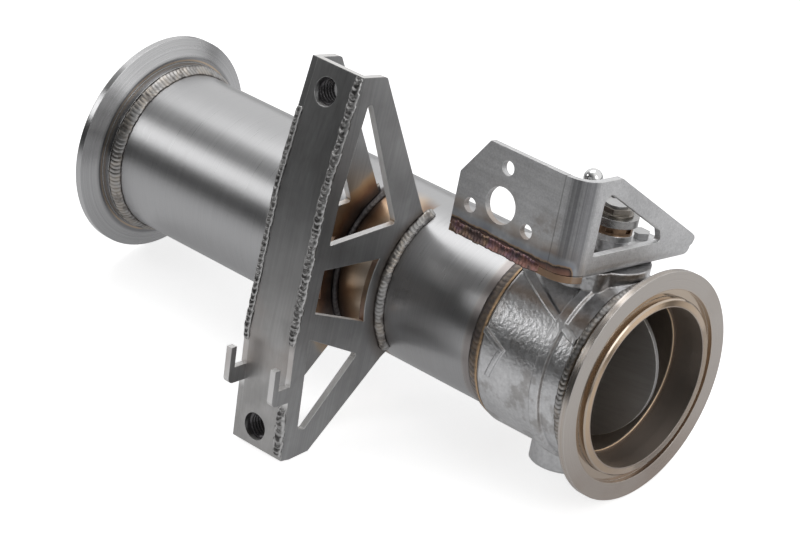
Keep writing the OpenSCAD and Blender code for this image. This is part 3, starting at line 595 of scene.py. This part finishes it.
MATS = {
    "tube_steel": tube_steel(),
    "flange_steel": flange_steel(),
    "cast_steel": cast_steel(),
    "weld_metal": weld_metal("weld_metal", BEAD_GREY, 0.3),
    "tinted_weld": weld_metal("tinted_weld", BEAD_BROWN, 0.8, 0.8),
    "foot_weld": weld_metal("foot_weld", BEAD_RED, 0.85),
    "seam_metal": seam_metal(),
    "thread_steel": plain_metal("thread_steel", (0.07, 0.066, 0.07), (0.14, 0.135, 0.14), 0.26),
    "plate_steel": plate_steel(),
    "bracket_steel": bracket_steel(),
    "disc_steel": disc_steel(),
    "shaft_steel": plain_metal("shaft_steel", (0.42, 0.42, 0.42), (0.56, 0.56, 0.56), 0.3),
    "lever_steel": plain_metal("lever_steel", (0.26, 0.255, 0.25), (0.42, 0.415, 0.41), 0.28),
    "polished_steel": plain_metal("polished_steel", (0.66, 0.66, 0.66), (0.76, 0.76, 0.76), 0.1),
    "heated_steel": plain_metal("heated_steel", (0.13, 0.085, 0.055), (0.3, 0.2, 0.13), 0.34),
    "nut_steel": plain_metal("nut_steel", (0.07, 0.062, 0.055), (0.34, 0.31, 0.27), 0.3, 420),
    "bush_bronze": plain_metal("bush_bronze", (0.36, 0.25, 0.1), (0.5, 0.36, 0.16), 0.4),
    "graphite": graphite(),
}

for part in frame["record"]["subparts"]:
    obj = NODE[part["node"]]
    mat = MATS["nut_steel" if part["node"] == "lever_nut" else part["material_slot"]]
    if obj.material_slots:
        for s in obj.material_slots:
            s.material = mat
    else:
        obj.data.materials.append(mat)


# ---------------------------------------------------------------- weld beads

def add_mesh(name, verts, faces, mat, replaces, body="housing", smooth=True, bead=None):
    """A piece that takes the place of CAD nodes."""
    mesh = bpy.data.meshes.new(name)
    mesh.from_pydata([tuple(v) for v in verts], [], faces)
    mesh.update()
    if smooth:
        mesh.polygons.foreach_set("use_smooth", [True] * len(mesh.polygons))
    if bead is not None:
        a = mesh.attributes.new("bead", "FLOAT_VECTOR", "POINT")
        a.data.foreach_set("vector", [c for b in bead for c in b])
    mesh.materials.append(mat)
    obj = bpy.data.objects.new(name, mesh)
    bpy.context.scene.collection.objects.link(obj)
    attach(obj, body)
    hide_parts(*replaces)


END_RUN = 0.6  # share of a bead's width over which its ends round off
RIPPLE_CURVE = 0.55  # how far a ripple's sides trail behind its middle


def bead_mesh(stations, width, height, pitch, seed, root=0.25, closed=False, rough=1.0):
    """A rippled bead. stations holds a function of s in mm, which gives (centre, across, out), and the length.

    root is how deep the bead's underside reaches, and rough scales the unevenness of its ripples.
    """
    at, length = stations
    cross, step = 12, 0.22
    rnd = random.Random(seed)
    n = max(12, int(length / step))
    pitch = length / max(1, round(length / pitch)) if closed else pitch
    count = int(length / pitch) + 3
    lifts, widths, skews = ([rnd.uniform(-1, 1) for _ in range(count)] for _ in range(3))
    if closed:
        # the last ripples repeat the first, so that the ring has no seam
        last = round(length / pitch)
        for draws in (lifts, widths, skews):
            draws[last:] = draws[:3]
    rows = n if closed else n + 1
    verts, bead = [], []
    for i in range(rows):
        s = length * i / n
        centre, across, out = at(s)
        to_end = max(0.0, min(s, length - s))
        end = 1.0 if closed else min(1.0, math.sqrt(to_end / (END_RUN * width)) + 0.02)
        for j in range(cross + 1):
            u = -1 + 2 * j / cross
            phase = s / pitch + RIPPLE_CURVE * u * u
            k = int(math.floor(phase)) % count
            part = phase - math.floor(phase)
            crest = math.sin(math.pi * min(1.0, part * 1.15)) ** 0.7
            lift = 0.80 + 0.20 * crest + 0.07 * lifts[k] * rough
            half = width / 2 * (1 + 0.06 * widths[k] * rough) * (0.55 + 0.45 * end)
            up = height * lift * end * (1 - u * u) ** 0.62
            shift = 0.04 * width * skews[k] * rough * (1 - abs(u))
            verts.append(centre + across * ((u * half + shift) * MM) + out * (up * MM))
            bead.append((phase, u, k))
    base = len(verts)
    for i in range(rows):
        s = length * i / n
        centre, _, out = at(s)
        verts.append(centre - out * (root * MM))
        bead.append((s / pitch, 1.0, 0))
    faces = []
    m = cross + 1
    for i in range(rows if closed else rows - 1):
        i2 = (i + 1) % rows
        for j in range(cross):
            faces.append((i * m + j, i2 * m + j, i2 * m + j + 1, i * m + j + 1))
        faces.append((base + i, base + i2, i2 * m, i * m))
        faces.append((i * m + cross, i2 * m + cross, base + i2, base + i))
    if not closed:
        end = (rows - 1) * m
        faces.append((base, *range(m)))
        faces.append((base + rows - 1, *reversed(range(end, end + m))))
    return verts, faces, bead


def join_meshes(parts):
    """One mesh of several, each with its own bead coordinates."""
    verts, faces, bead = [], [], []
    for v, f, b in parts:
        k = len(verts)
        verts += v
        faces += [tuple(i + k for i in q) for q in f]
        bead += b
    return verts, faces, bead


def ring_station(x1, r1, x2, r2, a0=0.0, a1=360.0):
    """Round the tube, between two [x, radius] toes in mm."""
    mid_x, mid_r = (x1 + x2) / 2, (r1 + r2) / 2
    dx, dr = x2 - x1, r2 - r1
    span = math.hypot(dx, dr)
    across_x, across_r = dx / span, dr / span
    out_x, out_r = -across_r, across_x
    if out_r < 0:
        out_x, out_r = -out_x, -out_r
    length = mid_r * math.radians(a1 - a0)

    def at(s):
        angle = math.radians(a0) + s / mid_r
        radial = hang_dir(0, math.cos(angle), math.sin(angle))
        centre = Vector((mid_x, 0, 0)) * MM + radial * mid_r * MM
        return centre, Vector((across_x, 0, 0)) + radial * across_r, Vector((out_x, 0, 0)) + radial * out_r
    return at, length


CORNER_RUN = 4  # mm beside a corner over which a bead's outward direction turns


def line_station(points, across, outs):
    """Along a polyline in metres, with rounded corners in its outward direction."""
    seg = [(b - a).length / MM for a, b in zip(points, points[1:])]
    length = sum(seg)

    def at(s):
        s = max(0.0, min(length, s))
        run = 0.0
        for i, q in enumerate(seg):
            if s <= run + q or i == len(seg) - 1:
                done, left = s - run, q - (s - run)
                out = outs[i].copy()
                if i + 1 < len(seg) and left < CORNER_RUN:
                    out = outs[i].lerp(outs[i + 1], 0.5 * (1 - left / CORNER_RUN))
                if i > 0 and done < CORNER_RUN:
                    out = outs[i].lerp(outs[i - 1], 0.5 * (1 - done / CORNER_RUN))
                return points[i].lerp(points[i + 1], done / q), across, out.normalized()
            run += q
    return at, length


def face_at(z):
    """Depth of the hanger's face at a height."""
    if z > BEND_TOP:
        return FACE - (z - BEND_TOP) * LEAN / (TOP - BEND_TOP)
    if z < -BEND_LOW:
        return FACE - (-BEND_LOW - z) * LEAN / (FOOT - BEND_LOW)
    return FACE


def seam(x, z_top, z_low):
    """Along a front corner of the hanger, between two heights."""
    zs = [z_top] + [z for z in (BEND_TOP, -BEND_LOW) if z_low < z < z_top] + [z_low]
    pts = [hang(x, -face_at(z), z) for z in zs]
    outs = []
    for a, b in zip(zs, zs[1:]):
        outs.append(hang_dir(0, b - a, face_at(b) - face_at(a)))
    return line_station(pts, Vector((1, 0, 0)), outs)


def weld(name, parts, node, slot="weld_metal", mat=None):
    """Rippled beads in place of the smooth ones of a CAD node."""
    verts, faces, bead = join_meshes(parts)
    add_mesh(name, verts, faces, MATS[mat or slot], (node,), bead=bead)


# Each bead is given as its run, width, height, ripple pitch and seed, in mm
weld("near_seam_bead", [
    bead_mesh(seam(HX1 - 2.1, 100.5, -19.5), 5.2, 1.35, 2.6, 11, rough=2.4),
    bead_mesh(seam(HX1 - 2.7, -49.0, -72.0), 6.0, 1.3, 2.8, 12, rough=2.0),
], "near_seam_weld", mat="seam_metal")
weld("far_seam_bead", [
    bead_mesh(seam(HX0 + 1.3, 79, -27), 3.4, 1.2, 2.6, 13, rough=2.4),
], "far_seam_weld", mat="seam_metal")

LEG = 3.9  # of the far plate's outer fillet
weld("near_tube_bead", [
    bead_mesh(ring_station(HX1, TUBE_R + 3.0, HX1 + 3.2, TUBE_R, 115, 225), 4.3, 0.95, 1.9, 21, root=2.0, rough=2.0),
], "near_tube_weld")
weld("far_tube_bead", [
    bead_mesh(ring_station(HX0 + 3, TUBE_R + 2.0, HX0 + 5.0, TUBE_R, 116, 228), 2.8, 0.5, 2.4, 23, root=1.2),
    bead_mesh(ring_station(HX0, TUBE_R + LEG, HX0 - LEG, TUBE_R, 116, 227), 5.4, 1.1, 2.7, 24, root=2.6, rough=1.6),
], "far_tube_weld")
weld("rear_ring_bead", [
    bead_mesh(ring_station(-289.5, 41.1, -284.2, TUBE_R), 5.9, 0.8, 2.0, 31, root=2.0, closed=True, rough=1.6),
], "rear_flange_weld")
weld("collar_bead", [
    bead_mesh(ring_station(-58.0, 41.0, -65.6, TUBE_R), 8.4, 0.55, 2.6, 32, root=2.0, closed=True, rough=0.5),
], "collar_weld", "tinted_weld")
weld("front_ring_bead", [
    bead_mesh(ring_station(-13.5, 42.6, -10.2, 41.2), 3.6, 0.7, 2.2, 33, root=1.2, closed=True, rough=1.4),
], "front_flange_weld")
foot = line_station([valve(-47.2, -47.02, 48.9), valve(1.6, -47.02, 48.3)], valve_dir(0, 0, 1), [valve_dir(0, -1, 0)])
weld("bracket_foot_bead", [
    bead_mesh(foot, 5.6, 0.8, 1.7, 41, root=0.0, rough=2.2),
], "bracket_seam_weld", "tinted_weld", mat="foot_weld")


# ---------------------------------------------------------------- threads

BOSS_X, BOSS_TOP, BOSS_PITCH = -135.9, 89.0, 153.3
SHEET, GAP = 3, 0.04  # thickness of the face plate, and the joint behind it
BOSS_LONG = 9
PITCH, ROOT_R, CREST_R, OUTER_R = 1.75, 6.0, 5.1, 8.0  # M12, from root to crest
MOUTH = 0.2  # how much wider the hole's mouth is


def threaded_boss(name, z0, node):
    """The tapped boss with its M12 thread, cut to the lean of the face."""
    around, steps = 72, 84
    lean = (face_at(z0 + 1) - face_at(z0 - 1)) / 2
    back = -face_at(z0) + SHEET + BOSS_LONG
    angles = [2 * math.pi * i / around for i in range(around)]
    verts, faces = [], []

    def front(z):
        return -face_at(z0) - lean * (z - z0) + SHEET + GAP

    def row(radius, y_at):
        first = len(verts)
        for a in angles:
            z = z0 + radius * math.sin(a)
            verts.append((BOSS_X + radius * math.cos(a), y_at(z), z))
        return first

    rows = [row(OUTER_R, lambda z: back), row(OUTER_R, front), row(ROOT_R + MOUTH, front)]
    for k in range(steps + 1):
        rows.append(len(verts))
        for i, a in enumerate(angles):
            y = front(z0 + ROOT_R * math.sin(a))
            y += (back - y) * k / steps
            turn = (y / PITCH - i / around) % 1.0
            depth = min(1.0, max(0.0, 1.6 * (1 - abs(2 * turn - 1)) - 0.3))
            radius = CREST_R + (ROOT_R - CREST_R) * depth
            verts.append((BOSS_X + radius * math.cos(a), y, z0 + radius * math.sin(a)))
    for a, b in zip(rows, rows[1:] + rows[:1]):
        for i in range(around):
            j = (i + 1) % around
            faces.append((a + i, a + j, b + j, b + i))
    places = [hang(*v) for v in verts]
    add_mesh(name, places, faces, MATS["thread_steel"], (node,), smooth=False)


threaded_boss("upper_thread_boss", BOSS_TOP, "hanger_upper_boss")
threaded_boss("lower_thread_boss", BOSS_TOP - BOSS_PITCH, "hanger_lower_boss")


# ---------------------------------------------------------------- studio

MIRROR_NEAR = (0.62, 0.62, 0.625)
MIRROR_FAR = (0.14, 0.14, 0.14)
FLOOR_SEEN, FLOOR_MIRRORED = 0.72, 0.5  # what the floor adds of its own light, to the camera and in mirrors
DARK_SIDE = (-0.3, -0.95, 0.05)  # the way to the unlit side of the studio


def floor_mat(color):
    m = Tree("floor")
    speck = m.noise(3, 2)
    col = m.mix(m.level(speck, 0.3, 0.7, 0, 0.02), color, tuple(c * 0.97 for c in color))
    # mirrored in the metal, the floor is lit near the part only
    rays = m.t.nodes.new("ShaderNodeLightPath").outputs
    x, y = m.xyz()[:2]
    mirrored = m.mix(m.level(m.length(x, y), 0.25, 1.1), MIRROR_NEAR, MIRROR_FAR)
    col = m.mix(rays["Is Glossy Ray"], col, mirrored)
    m.finish(col, 0.9, metallic=0.0, Specular_IOR_Level=0.1)
    emit = m.t.nodes.new("ShaderNodeEmission")
    m.link(m.mix(rays["Is Glossy Ray"], (1, 1, 1), mirrored), emit.inputs["Color"])
    to_camera = m.mul(rays["Is Camera Ray"], FLOOR_SEEN)
    seen = m.math("MAXIMUM", to_camera, m.mul(rays["Is Glossy Ray"], FLOOR_MIRRORED))
    m.link(seen, emit.inputs["Strength"])
    both = m.t.nodes.new("ShaderNodeAddShader")
    m.link(m.bsdf.outputs[0], both.inputs[0])
    m.link(emit.outputs[0], both.inputs[1])
    m.link(both.outputs[0], m.out.inputs[0])
    return m.mat


floor_z = min(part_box(n)[0].z for n in NODE)
bpy.ops.mesh.primitive_plane_add(size=6, location=(-0.1, 0, floor_z - 0.0002))
floor = bpy.context.object
floor.name = "floor"
floor.data.materials.append(floor_mat((0.86, 0.86, 0.86)))

world = bpy.data.worlds.new("studio")
bpy.context.scene.world = world
world.use_nodes = True
wt = world.node_tree
wt.nodes.clear()
w_out = wt.nodes.new("ShaderNodeOutputWorld")
w_bg = wt.nodes.new("ShaderNodeBackground")
w_seen = wt.nodes.new("ShaderNodeBackground")
w_mix = wt.nodes.new("ShaderNodeMixShader")
w_rays = wt.nodes.new("ShaderNodeLightPath").outputs
w_co = wt.nodes.new("ShaderNodeTexCoord").outputs["Generated"]
w_sep = wt.nodes.new("ShaderNodeSeparateXYZ")
wt.links.new(w_co, w_sep.inputs[0])


def w_ramp(socket, stops):
    n = wt.nodes.new("ShaderNodeValToRGB")
    wt.links.new(socket, n.inputs[0])
    while len(n.color_ramp.elements) < len(stops):
        n.color_ramp.elements.new(0.5)
    for e, (p, v) in zip(n.color_ramp.elements, stops):
        e.position = p
        e.color = (v, v, v, 1)
    return n.outputs[0]


def w_math(op, a, b):
    n = wt.nodes.new("ShaderNodeMath")
    n.operation = op
    wt.links.new(a, n.inputs[0])
    wt.links.new(b, n.inputs[1])
    return n.outputs[0]


def w_toward(direction):
    n = wt.nodes.new("ShaderNodeVectorMath")
    n.operation = "DOT_PRODUCT"
    wt.links.new(w_co, n.inputs[0])
    n.inputs[1].default_value = Vector(direction).normalized()
    return n.outputs["Value"]


# the room that lights the part: brighter overhead, unlit on one side
height = w_ramp(w_sep.outputs[2], [(0.0, 0.42), (0.2, 0.55), (0.5, 0.5), (0.8, 0.5), (1.0, 0.55)])
side = w_ramp(w_toward(DARK_SIDE), [(0.0, 1.0), (0.45, 0.62), (0.72, 0.2), (1.0, 0.08)])
wt.links.new(w_math("MULTIPLY", height, side), w_bg.inputs[0])
w_bg.inputs[1].default_value = 1.0
w_seen.inputs[0].default_value = (1, 1, 1, 1)
w_seen.inputs[1].default_value = 1.0
# the white backdrop is seen by the camera and through glass, and mirrored on the lit side
behind = w_ramp(w_toward(DARK_SIDE), [(0.0, 1.0), (0.25, 0.25), (0.45, 0.0), (1.0, 0.0)])
w_mirrored = w_math("MULTIPLY", w_rays["Is Glossy Ray"], behind)
w_through = w_math("MAXIMUM", w_rays["Is Transmission Ray"], w_mirrored)
wt.links.new(w_math("MAXIMUM", w_rays["Is Camera Ray"], w_through), w_mix.inputs[0])
wt.links.new(w_bg.outputs[0], w_mix.inputs[1])
wt.links.new(w_seen.outputs[0], w_mix.inputs[2])
wt.links.new(w_mix.outputs[0], w_out.inputs[0])


def softbox(name, place, aim, size, watts):
    data = bpy.data.lights.new(name, "AREA")
    data.shape = "RECTANGLE"
    data.size, data.size_y = size
    data.energy = watts
    obj = bpy.data.objects.new(name, data)
    bpy.context.scene.collection.objects.link(obj)
    obj.location = place
    obj.rotation_mode = "QUATERNION"
    obj.rotation_quaternion = (Vector(aim) - Vector(place)).to_track_quat("-Z", "Y")
    obj.visible_camera = False


softbox("key", (-0.7, 0.4, 1.6), (-0.15, 0, 0), (1.5, 0.95), 6.4)
softbox("left", (-1.5, -1.15, 1.0), (-0.15, 0, 0), (0.7, 0.7), 3.6)
softbox("right", (1.4, -0.1, 1.0), (-0.05, 0, 0), (0.8, 1.0), 4)

# The camera stands where the photograph was taken from, in the hanger's frame.
FRAME_W, SENSOR = 800, 36.0  # the photograph's width in pixels, the sensor's in millimetres
FOCAL = 3216.142  # in pixels
cam_data = bpy.data.cameras.new("camera")
cam = bpy.data.objects.new("camera", cam_data)
bpy.context.scene.collection.objects.link(cam)
cam_data.sensor_width = SENSOR
cam_data.lens = FOCAL * SENSOR / FRAME_W
cam_data.clip_start = 0.05
cam_data.clip_end = 20
right = hang_dir(0.72301704, 0.65861304, 0.20850715)
down = hang_dir(0.36750955, -0.11112622, -0.92335675)
ahead = hang_dir(-0.58496418, 0.74423103, -0.32239273)
spot = hang(695.12, -1064.32, 459.10)
cam.matrix_world = Matrix.Translation(spot) @ Matrix((right, -down, -ahead)).transposed().to_4x4()
bpy.context.scene.camera = cam
bpy.context.scene.view_settings.view_transform = "Standard"
